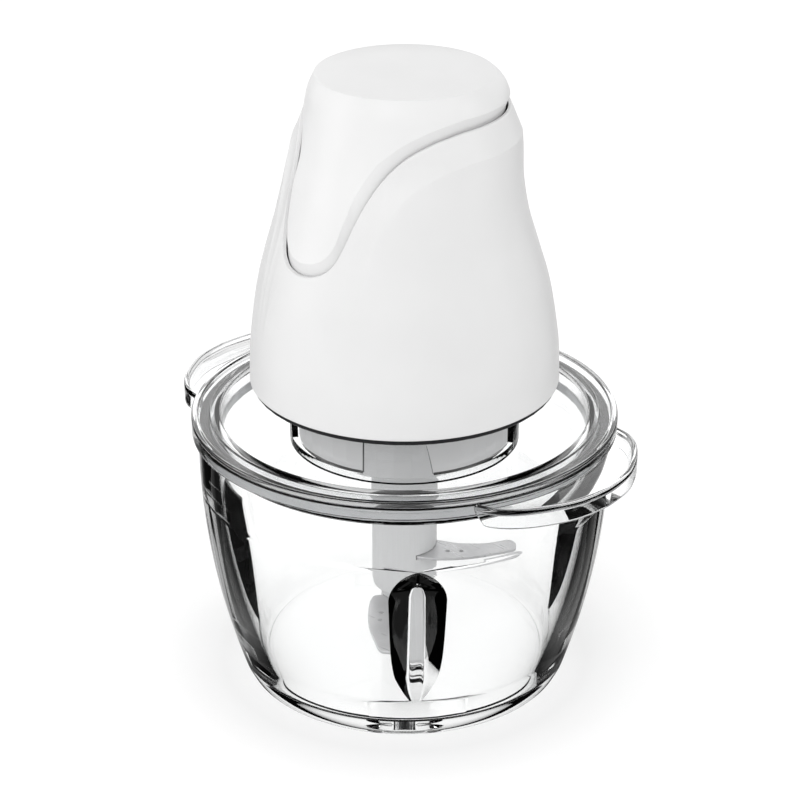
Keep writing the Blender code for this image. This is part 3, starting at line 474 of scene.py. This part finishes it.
def plain_ring(radius, height, count):
    """A round ring with as many points as a ribbed one."""
    start = RIB_AZIMUTH - RING_START
    return [on_azimuth(start + 360 * i / count, radius, height) for i in range(count)]


def make_bowl():
    outside = fair_curve([(z, r) for r, z in BOWL_OUTSIDE])
    wall = fair_curve([(z, r) for r, z in BOWL_WALL])
    count = len(ribbed_ring(wall(RIB_SHOULDER_Z), RIB_SHOULDER_Z))
    base = rounded(BOWL_BASE, closed=False, steps=8)
    recess = rounded([(4, RECESS_TOP, 0), (RECESS_R, RECESS_TOP, 0.2), (RECESS_R, 0, 0.15), (20, 0, 0)],
                     closed=False)
    rows = [plain_ring(r, z, count) for r, z in recess + base[:-1]]
    rows += [plain_ring(outside(z), z, count) for z in spaced(5.0, 111.0, 53)]
    rows += [plain_ring(r, z, count) for r, z in rounded(BOWL_RIM, closed=False, steps=8)]
    rows += [plain_ring(wall(z), z, count) for z in spaced(111.0, 85.5, 17)]
    arch = [RIB_TOP_Z - (RIB_TOP_Z - RIB_SHOULDER_Z) * ((i + 0.4) / 22) ** 1.6 for i in range(22)]
    rows += [ribbed_ring(wall(z), z) for z in arch + spaced(RIB_SHOULDER_Z, 18.75, 41)]
    boss = [(BOSS_R, FLOOR_Z, 0.5), (BOSS_R - 0.3, BOSS_TOP, 0.5), (PIN_HOLE_R, BOSS_TOP, 0.3),
            (PIN_HOLE_R, PIN_HOLE_Z, 0)]
    floor = rounded([(wall(17), 17, 0)] + FLOOR_EDGE + boss, closed=False, steps=8)
    rows += [plain_ring(r, z, count) for r, z in floor]
    bowl = new_object("glass_bowl", *skin(rows, False), glass, sharp=32)
    lets_light_through(bowl)
    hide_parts("bowl")
    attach(bowl, "bowl")


# --- Lid --------------------------------------------------------------------------------------

def wing_solid(name, side):
    """One grip wing: a plate with a raised edge and a skirt, swept round the rim."""
    edge = smooth_curve(WING_EDGE)
    plate_low, plate_high = WING_PLATE_Z
    reach = WING_EDGE[-1][0]
    sections = []
    for i in range(WING_STEPS + 1):
        swing = -math.cos(math.pi * i / WING_STEPS)
        angle = reach * swing
        outer = edge(abs(angle))
        inner = max(outer - WING_SKIRT, WING_ROOT_R + 0.3)
        low = WING_SKIRT_Z + WING_END_RISE * max(abs(swing) - WING_END, 0) / (1 - WING_END)
        corners = [(WING_ROOT_R, plate_low, 0), (inner, plate_low, 0.5), (inner, low, 0.4),
                   (outer, low, 0.5), (outer, WING_BEAD_Z, 0.9),
                   (max(outer - WING_BEAD[0], WING_ROOT_R + 0.1), WING_BEAD_Z, 0.5),
                   (max(outer - WING_BEAD[1], WING_ROOT_R + 0.05), plate_high, 0.3),
                   (WING_ROOT_R, plate_high, 0)]
        points = rounded(corners, steps=3)
        sections.append([on_azimuth(90 * side + angle, r, z) for r, z in points])
    return new_object(name, *skin(sections, False), None)


def collar_solid():
    """The locating collar: a low ring with tall tabs, each with a ramp on one side."""
    inner, outer = COLLAR_R
    tab_height = COLLAR_TOP_Z - COLLAR_LOW_Z
    angles = []
    for k in range(TAB_COUNT):
        middle = TAB_AZIMUTH + 360 / TAB_COUNT * k
        steps = [-TAB_HALF - TAB_RISE + TAB_RISE / 4 * i for i in range(5)]
        steps += [-TAB_HALF + 3 * i for i in range(1, 10)]
        steps += [TAB_HALF + TAB_RAMP * i / 16 for i in range(17)]
        steps += [TAB_HALF + TAB_RAMP + 4 * i for i in range(1, 13)]
        angles += [(middle + s, s) for s in steps]
    rows = []
    for angle, offset in angles:
        beyond = (offset - TAB_HALF) / TAB_RAMP
        before = (offset + TAB_HALF) / TAB_RISE
        if before <= -1 or beyond >= 1:
            top = COLLAR_LOW_Z
        elif before < 0:
            top = COLLAR_LOW_Z + tab_height * (1 + before) ** 0.5
        elif beyond <= 0:
            top = COLLAR_TOP_Z
        else:
            top = COLLAR_LOW_Z + tab_height * (1 - beyond ** 1.6)
        corners = [(inner, COLLAR_FOOT_Z, 0), (outer, COLLAR_FOOT_Z, 0), (outer, top, 0.4),
                   (inner, top, 0.4)]
        rows.append([on_azimuth(angle, r, z) for r, z in rounded(corners, steps=2)])
    return new_object("collar", *skin(rows, True), None)


def make_lid():
    section = refined(rounded(LID_SECTION, steps=6), 4.0)
    lid = turned("clear_lid", section, clear_plastic, 256)
    combine(lid, [wing_solid("wing_right", 1), wing_solid("wing_left", -1), collar_solid()], "UNION")
    lets_light_through(lid)
    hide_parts("lid")
    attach(lid, "lid")


# --- Motor housing and press cap --------------------------------------------------------------

flank = smooth_curve(FLANK)
cap_flank = smooth_curve(CAP_FLANK)
lean = smooth_curve(LEAN)
seam = smooth_curve(SEAM)
lip = smooth_curve(HOUSING_LIP)


def seam_slope(azimuth):
    """Rise of the seam over its run along the wall."""
    step = 0.5
    arc = math.radians(2 * step) * flank(seam(azimuth))
    return (seam(azimuth + step) - seam(azimuth - step)) / arc


def seam_azimuths(count):
    """Azimuths spaced evenly along the seam, so its steep sides get their share of columns."""
    fine = spaced(-180, 180, 720)
    travelled = [0.0]
    for a, b in zip(fine, fine[1:]):
        arc = math.radians(b - a) * flank(seam(a))
        travelled.append(travelled[-1] + math.hypot(arc, seam(b) - seam(a)))
    place = smooth_curve(list(zip(travelled, fine)))
    return [place(travelled[-1] * i / count) for i in range(count)]


def housing_column(azimuth):
    """Outside and inside (height, radius) points of the housing at one azimuth, bottom first."""
    top = seam(azimuth)
    crease = top - SHOULDER * math.sqrt(1 + SHOULDER_SPREAD * seam_slope(azimuth) ** 2)
    crease = max(crease, SHOULDER_FOOT)
    edge_r = cap_flank(top)

    def outside_r(height):
        in_band = max(height - crease, 0) / (top - crease)
        return flank(height) + (edge_r - flank(top)) * in_band

    foot_r = flank(HOUSING_Z)
    points = [(HOUSING_Z + height, foot_r - back) for height, back in HOUSING_FOOT]
    wall = spaced(points[-1][0], crease, 44)[1:-1] + spaced(crease, top - 0.4, 14)
    points += [(height, outside_r(height)) for height in wall]
    points += [(top - 0.12, outside_r(top) - 0.1), (top, outside_r(top) - 0.4), (top, edge_r - lip(top))]
    inside = spaced(top - LIP_DEPTH, HOUSING_Z, 12)
    points += [(height, outside_r(height) - HOUSING_WALL) for height in inside]
    return points


def cap_column(azimuth):
    """Outside and inside (height, radius) points of the press cap at one azimuth, top first."""
    stretch = math.sqrt(1 + seam_slope(azimuth) ** 2)
    edge = seam(azimuth) + SEAM_GAP * stretch
    band = edge + min(CAP_CHAMFER * stretch, (CAP_ROUND_Z - edge) * 0.75)
    outside = list(CAP_EDGE_ROWS) + spaced(CAP_ROUND_Z, band, 30)
    points = [(height, cap_flank(height)) for height in outside]
    chamfer = zip(spaced(band, edge, 6), spaced(0, CAP_INSET, 6))
    points += [(height, cap_flank(height) - drawn_in) for height, drawn_in in chamfer][1:]
    skirt_r = points[-1][1]
    skirt_end = edge - CAP_SKIRT
    points += [(skirt_end, skirt_r), (skirt_end, skirt_r - CAP_SKIRT_WALL),
               (edge, skirt_r - CAP_WALL + 0.6)]
    points += [(height, cap_flank(height) - CAP_WALL - 0.4) for height in spaced(band, CAP_ROUND_Z, 8)]
    points.append((CAP_CEILING_EDGE, cap_flank(CAP_CEILING_EDGE) - CAP_WALL - 1.2))
    return points


def shell_rows(columns, azimuths):
    """Rings of points from a column of (height, radius) points at each azimuth."""
    rows = []
    for k in range(len(columns[0])):
        row = []
        for azimuth, column in zip(azimuths, columns):
            height, radius = column[k]
            row.append(on_azimuth(azimuth, radius, height, lean(height)))
        rows.append(row)
    return rows


def make_shells():
    azimuths = seam_azimuths(SHELL_COLUMNS)
    rows = shell_rows([housing_column(a) for a in azimuths], azimuths)
    housing = new_object("housing_shell", *skin(rows, True), white_plastic, SHELL_SHARP)
    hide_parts("motor_housing")
    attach(housing, "motor_unit")
    shift = lean(CAP_CROWN_Z)
    rows = [[on_azimuth(a, r, z, shift) for a in azimuths] for z, r in CAP_CROWN]
    rows += shell_rows([cap_column(a) for a in azimuths], azimuths)
    rows += [[on_azimuth(a, r, z, shift) for a in azimuths] for z, r in CAP_CEILING]
    cap = new_object("cap_shell", *skin(rows, False), cap_plastic, SHELL_SHARP)
    for edge in cap.data.edges:
        if min(cap.data.vertices[v].co.z for v in edge.vertices) > CAP_ROUND_Z * MM:
            edge.use_edge_sharp = False
    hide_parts("press_cap")
    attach(cap, "press_cap")


# --- Blades -----------------------------------------------------------------------------------

def through_points(points, steps):
    """A closed curve that runs smoothly through the points."""
    curve = []
    count = len(points)
    for i in range(count):
        a, b, c, d = (Vector(points[(i + k) % count]) for k in (-1, 0, 1, 2))
        bend = a - b * 2.5 + c * 2 - d / 2
        turn = b * 1.5 - a / 2 - c * 1.5 + d / 2
        for k in range(steps):
            t = k / steps
            curve.append(b + (c - a) * t / 2 + bend * t * t + turn * t ** 3)
    return curve


def inset(curve, distance):
    """A closed anticlockwise curve drawn in by a distance."""
    drawn = []
    for i, p in enumerate(curve):
        run = (curve[(i + 1) % len(curve)] - curve[i - 1]).normalized()
        drawn.append(p + Vector((-run.y, run.x)) * distance)
    return drawn


def make_blade(name, height, turn):
    """A sickle blade: pressed sheet, softened edges, two holes."""
    outline = through_points(BLADE_PLAN, 6)
    spin = Matrix.Rotation(math.radians(turn), 2)
    layers = ((0, BLADE_SOFT), (BLADE_SOFT, 0), (BLADE_THICK - BLADE_SOFT, 0), (BLADE_THICK, BLADE_SOFT))
    rows = [[(*(spin @ p), height + z) for p in inset(outline, drawn_in)] for z, drawn_in in layers]
    blade = new_object(name + "_sheet", *skin(rows, False), blade_steel)
    drills = []
    for hole in BLADE_HOLES:
        centre = spin @ Vector(hole)
        circle = [math.tau * k / BLADE_HOLE_STEPS for k in range(BLADE_HOLE_STEPS)]
        rims = [[(centre.x + BLADE_HOLE_R * math.cos(a), centre.y + BLADE_HOLE_R * math.sin(a), height + z)
                 for a in circle] for z in (-1.0, BLADE_THICK + 1.0)]
        drills.append(new_object(name + "_drill", *skin(rims, False), None))
    combine(blade, drills, "DIFFERENCE", sharp=30)
    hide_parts(name)
    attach(blade, "blades")


# --- CAD nodes that keep their shape ----------------------------------------------------------

NODE_LOOKS = {
    "pivot_pin": steel, "lid_seal": silicone, "base_cover": grey_plastic, "trim_ring": dark_plastic,
    "cable_gland": dark_plastic, "housing_screw_1": steel, "housing_screw_2": steel,
    "housing_screw_3": steel, "gearbox_housing": dark_plastic, "ring_gear": nylon,
    "gearbox_cover": grey_plastic, "lower_bearing": bronze, "motor_cage": steel,
    "stator_core": laminated, "field_coil_front": copper, "field_coil_back": copper,
    "brush_holder_left": nylon, "brush_holder_right": nylon, "carbon_brush_left": carbon,
    "carbon_brush_right": carbon, "upper_bearing": bronze, "button_guide": nylon,
    "microswitch": dark_plastic, "control_board": board_green, "return_spring": steel,
    "plunger": nylon, "switch_finger": nylon, "rotor_shaft": steel, "armature_core": laminated,
    "lower_windings": copper, "upper_windings": copper, "commutator": copper,
    "cooling_fan": dark_plastic, "sun_gear": steel, "planet_carrier": steel, "output_shaft": steel,
    "drive_coupling": dark_plastic, "planet_gear_1": nylon, "planet_gear_2": nylon,
    "planet_gear_3": nylon, "blade_hub": hub_plastic, "hub_foot": hub_plastic, "hub_socket": nylon,
}


def dress_nodes():
    for name, look in NODE_LOOKS.items():
        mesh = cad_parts[name].data
        mesh.materials.clear()
        mesh.materials.append(look)
        mesh.shade_smooth()
        mesh.set_sharp_from_angle(angle=math.radians(32))


# --- Stage ------------------------------------------------------------------------------------

def gradient(tree, value, stops):
    """Grey by value, through (value, grey) stops."""
    first, last = stops[0][0], stops[-1][0]
    spread = tree.nodes.new("ShaderNodeMapRange")
    spread.inputs["From Min"].default_value = first
    spread.inputs["From Max"].default_value = last
    ramp = tree.nodes.new("ShaderNodeValToRGB")
    tree.links.new(value, spread.inputs["Value"])
    tree.links.new(spread.outputs["Result"], ramp.inputs["Fac"])
    elements = ramp.color_ramp.elements
    while len(elements) < len(stops):
        elements.new(0.5)
    for element, (position, grey) in zip(elements, stops):
        element.position = (position - first) / (last - first)
        element.color = (grey, grey, grey, 1)
    return ramp.outputs["Color"]


def calculate(tree, operation, *values):
    """A maths node over sockets and numbers."""
    node = tree.nodes.new("ShaderNodeMath")
    node.operation = operation
    for socket, value in zip(node.inputs, values):
        if isinstance(value, (int, float)):
            socket.default_value = value
        else:
            tree.links.new(value, socket)
    return node.outputs["Value"]


def reflected(tree):
    """0 for light that comes straight or through glass, 1 once it has been reflected."""
    path = tree.nodes.new("ShaderNodeLightPath")
    return calculate(tree, "MINIMUM", path.outputs["Glossy Depth"], 1.0)


def along(tree, vector, azimuth):
    """How far a vector reaches towards an azimuth."""
    turn = math.radians(azimuth)
    product = tree.nodes.new("ShaderNodeVectorMath")
    product.operation = "DOT_PRODUCT"
    product.inputs[1].default_value = (math.sin(turn), -math.cos(turn), 0)
    tree.links.new(vector, product.inputs[0])
    return product.outputs["Value"]


def past_wedge(tree, vector, wedge):
    """Distance past the edge of a lit wedge that opens to the back of the studio."""
    spread, half_width = wedge
    front = along(tree, vector, STUDIO_FRONT)
    sideways = calculate(tree, "ABSOLUTE", along(tree, vector, STUDIO_FRONT + 90))
    flare = calculate(tree, "MULTIPLY_ADD", front, spread, sideways)
    return calculate(tree, "MAXIMUM", calculate(tree, "SUBTRACT", flare, half_width), front)


def make_floor():
    """A white sweep that reflections see dark outside the lit wedge, so that glass edges read dark."""
    look = bpy.data.materials.new("pale_floor")
    look.use_nodes = True
    tree = look.node_tree
    white = tree.nodes["Principled BSDF"]
    white.inputs["Base Color"].default_value = (FLOOR_GREY, FLOOR_GREY, FLOOR_GREY, 1)
    white.inputs["Roughness"].default_value = 0.9
    white.inputs["Specular IOR Level"].default_value = 0.0
    white.inputs["Emission Color"].default_value = (1, 1, 1, 1)
    place = tree.nodes.new("ShaderNodeNewGeometry")
    from_axis = tree.nodes.new("ShaderNodeVectorMath")
    from_axis.operation = "LENGTH"
    tree.links.new(place.outputs["Position"], from_axis.inputs[0])
    # Painted contact shadow: the floor's glow is dimmed close round the object's axis
    painted_shadow = gradient(tree, from_axis.outputs["Value"], FLOOR_PAINTED_SHADOW)
    path = tree.nodes.new("ShaderNodeLightPath")
    glow = calculate(tree, "MULTIPLY_ADD", path.outputs["Is Diffuse Ray"], -FLOOR_GLOW, FLOOR_GLOW)
    glow = calculate(tree, "MULTIPLY", glow, painted_shadow)
    glow = calculate(tree, "MULTIPLY_ADD", path.outputs["Is Transmission Ray"], FLOOR_GLOW_THROUGH, glow)
    tree.links.new(glow, white.inputs["Emission Strength"])
    mirrored = tree.nodes.new("ShaderNodeEmission")
    past_edge = past_wedge(tree, place.outputs["Position"], FLOOR_WEDGE)
    tree.links.new(gradient(tree, past_edge, FLOOR_REFLECTED), mirrored.inputs["Color"])
    mix = tree.nodes.new("ShaderNodeMixShader")
    tree.links.new(reflected(tree), mix.inputs["Fac"])
    tree.links.new(white.outputs["BSDF"], mix.inputs[1])
    tree.links.new(mirrored.outputs["Emission"], mix.inputs[2])
    tree.links.new(mix.outputs["Shader"], tree.nodes["Material Output"].inputs["Surface"])
    mesh = bpy.data.meshes.new("floor")
    corners = ((-1, -1), (1, -1), (1, 1), (-1, 1))
    mesh.from_pydata([(x * FLOOR_HALF, y * FLOOR_HALF, FLOOR_TOP) for x, y in corners], [], [(0, 1, 2, 3)])
    mesh.materials.append(look)
    floor = bpy.data.objects.new("floor", mesh)
    bpy.context.scene.collection.objects.link(floor)


def make_world():
    """A pale studio dome, which reflections see dark but for the wedge and the zenith."""
    world = bpy.data.worlds.new("studio")
    bpy.context.scene.world = world
    world.use_nodes = True
    tree = world.node_tree
    place = tree.nodes.new("ShaderNodeTexCoord")
    split = tree.nodes.new("ShaderNodeSeparateXYZ")
    tree.links.new(place.outputs["Generated"], split.inputs["Vector"])
    height = split.outputs["Z"]
    wedge = gradient(tree, past_wedge(tree, place.outputs["Generated"], DOME_WEDGE), DOME_REFLECTED)
    backdrop = calculate(tree, "MULTIPLY", wedge, gradient(tree, height, BACKDROP_REFLECTED))
    mirrored = calculate(tree, "MAXIMUM", backdrop, gradient(tree, height, ZENITH_REFLECTED))
    share = reflected(tree)
    unreflected = calculate(tree, "SUBTRACT", 1.0, share)
    direct = calculate(tree, "MULTIPLY", gradient(tree, height, DOME), unreflected)
    seen = calculate(tree, "MULTIPLY_ADD", mirrored, share, direct)
    tree.links.new(seen, tree.nodes["Background"].inputs["Color"])


def add_softbox(name, azimuth, elevation, distance, size, watts):
    light = bpy.data.lights.new(name, "AREA")
    light.shape = "RECTANGLE"
    light.size, light.size_y = size
    light.energy = watts
    made = bpy.data.objects.new(name, light)
    a, e = math.radians(azimuth), math.radians(elevation)
    away = Vector((math.sin(a) * math.cos(e), -math.cos(a) * math.cos(e), math.sin(e)))
    made.location = Vector(SOFTBOX_AIM) + away * distance
    made.rotation_euler = away.to_track_quat("Z", "Y").to_euler()
    bpy.context.scene.collection.objects.link(made)


def make_camera():
    camera = bpy.data.objects.new("camera", bpy.data.cameras.new("camera"))
    bpy.context.scene.collection.objects.link(camera)
    turn = math.radians(CAMERA_AZIMUTH)
    camera.location = (math.sin(turn) * CAMERA_AWAY, -math.cos(turn) * CAMERA_AWAY, CAMERA_HEIGHT)
    camera.rotation_euler = (math.radians(90 - CAMERA_PITCH), 0, turn)
    camera.data.lens = CAMERA_LENS
    camera.data.shift_x = CAMERA_SHIFT
    camera.data.clip_end = 50
    bpy.context.scene.camera = camera


make_camera()
make_world()
make_floor()
for softbox in SOFTBOXES:
    add_softbox(*softbox)
make_bowl()
make_lid()
make_shells()
make_blade("upper_blade", *UPPER_BLADE)
make_blade("lower_blade", *LOWER_BLADE)
dress_nodes()
bpy.context.scene.view_settings.view_transform = "Standard"
